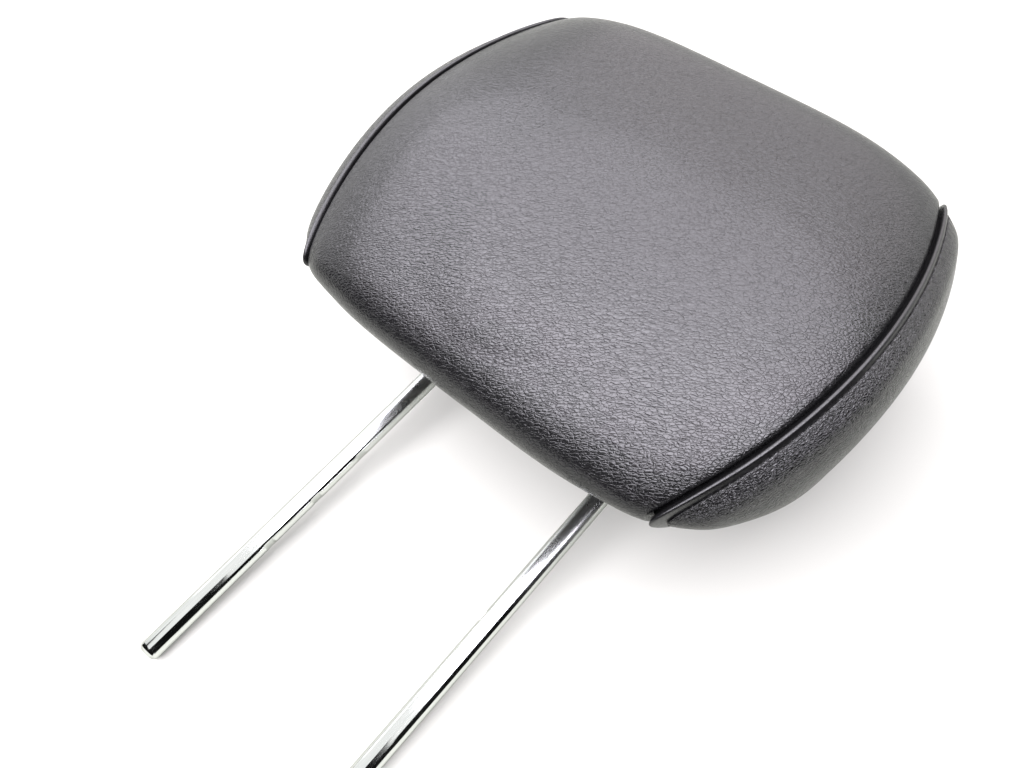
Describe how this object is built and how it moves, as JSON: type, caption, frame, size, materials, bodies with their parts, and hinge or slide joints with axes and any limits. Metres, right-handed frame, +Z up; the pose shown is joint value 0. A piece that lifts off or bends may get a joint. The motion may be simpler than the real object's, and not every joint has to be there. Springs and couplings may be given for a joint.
{
  "type": "car headrest",
  "caption": "Padded car headrest with a seamed leather cover on a bent steel rod whose straight notched posts slide into a seat's guides.",
  "frame": {"origin": "midway between the two post axes, where the posts leave the underside of the pad", "axes": "+Z up along the posts, +X across the seat towards the right post as the face is seen, -Y towards the head that the pad supports"},
  "size_m": [0.2972, 0.1532, 0.411],
  "materials": {
    "post_chrome": "mirror bright, faint lengthwise drawing marks",
    "carrier_plastic": "moulded, matt",
    "screw_steel": "zinc plated",
    "foam": "open-cell polyurethane foam, matt",
    "cover_leather": "fine pebble grain, semi-gloss",
    "welt_leather": "fine pebble grain stretched smooth, semi-gloss",
    "strip_plastic": "extruded, matt"
  },
  "bodies": {
    "root": {"post_frame": "post_chrome", "carrier_front": "carrier_plastic", "carrier_rear": "carrier_plastic", "carrier_screw_1": "screw_steel", "carrier_screw_2": "screw_steel", "carrier_screw_3": "screw_steel", "carrier_screw_4": "screw_steel", "foam_bun": "foam", "centre_panel": "cover_leather", "side_panel_left": "cover_leather", "side_panel_right": "cover_leather", "seam_welt_left": "welt_leather", "seam_welt_right": "welt_leather", "closure_strip_front": "strip_plastic", "closure_strip_rear": "strip_plastic"}
  },
  "joints": []
}
